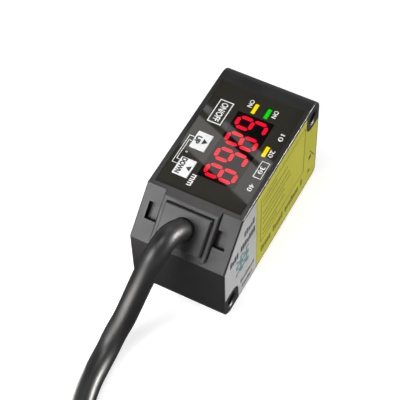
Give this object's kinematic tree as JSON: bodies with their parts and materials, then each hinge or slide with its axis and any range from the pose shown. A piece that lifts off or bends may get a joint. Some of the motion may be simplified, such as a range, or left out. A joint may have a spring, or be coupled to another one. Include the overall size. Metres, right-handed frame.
{
  "type": "laser displacement sensor",
  "caption": "Compact laser displacement sensor with a corner-cut case, a digit display under a smoked window, press keys and a coiled cable with bare cores.",
  "frame": {"origin": "middle of the flat optical face that the sensor rests on, without the cable", "axes": "+Z is the outward normal of the display panel, +X is the outward normal of the labelled side, and the cable leaves at the -Y end"},
  "size_m": [0.0633, 0.1521, 0.0269],
  "materials": {
    "case_plastic": "fine moulded texture",
    "cover_plastic": "fine moulded texture",
    "bush_plastic": "satin",
    "dark_plastic": "satin",
    "window_plastic": "smoked and glossy",
    "display_plastic": "black",
    "display_resin": "lit red",
    "key_plastic": "white",
    "green_resin": "lit green",
    "yellow_resin": "lit yellow",
    "lamp_chip": "ceramic",
    "steel": "bright",
    "gilt_steel": "gilt",
    "board": "solder mask",
    "lens_glass": "polished",
    "mirror_coat": "front coated",
    "optical_pane": "dark and polished",
    "silver_film": "satin film",
    "yellow_film": "satin film",
    "cable_jacket": "satin PVC",
    "core_brown": "PVC",
    "core_white": "PVC",
    "core_blue": "PVC",
    "core_black": "PVC",
    "core_grey": "PVC"
  },
  "bodies": {
    "sensor": {"housing": "case_plastic", "top_cover": "cover_plastic", "cable_bush": "bush_plastic", "display_window": "window_plastic", "display_shell": "display_plastic", "display_resin": "display_resin", "lamp_power": "lamp_chip", "lamp_laser": "lamp_chip", "lamp_output": "lamp_chip", "light_bar_power": "green_resin", "light_bar_laser": "yellow_resin", "light_bar_output": "yellow_resin", "switch_teach": "steel", "switch_up": "steel", "switch_down": "steel", "display_board": "board", "main_board": "board", "board_connector": "key_plastic", "controller_chip": "dark_plastic", "filter_capacitor": "steel", "optical_head": "dark_plastic", "head_screw_left": "steel", "head_screw_right": "steel", "laser_barrel": "steel", "collimator_lens": "lens_glass", "laser_diode": "gilt_steel", "receiver_lens": "lens_glass", "fold_mirror": "mirror_coat", "sensor_board": "board", "image_sensor": "dark_plastic", "front_pane": "optical_pane", "label_silver": "silver_film", "label_yellow": "yellow_film", "cable": "cable_jacket", "cable_coil": "cable_jacket", "cable_tail": "cable_jacket", "core_brown": "core_brown", "core_white": "core_white", "core_blue": "core_blue", "core_black": "core_black", "core_grey": "core_grey"},
    "teach_key": {"key_teach": "dark_plastic", "plunger_teach": "dark_plastic"},
    "up_key": {"key_up": "key_plastic", "plunger_up": "dark_plastic"},
    "down_key": {"key_down": "key_plastic", "plunger_down": "dark_plastic"}
  },
  "joints": [
    {"name": "teach_key_press", "type": "slide", "parent": "sensor", "child": "teach_key", "axis": [0, 0, -1], "range_m": [0, 0.0003], "stiffness_N_per_m": 2000, "springref_m": -0.0002},
    {"name": "up_key_press", "type": "slide", "parent": "sensor", "child": "up_key", "axis": [0, 0, -1], "range_m": [0, 0.0003], "stiffness_N_per_m": 2000, "springref_m": -0.0002},
    {"name": "down_key_press", "type": "slide", "parent": "sensor", "child": "down_key", "axis": [0, 0, -1], "range_m": [0, 0.0003], "stiffness_N_per_m": 2000, "springref_m": -0.0002}
  ]
}
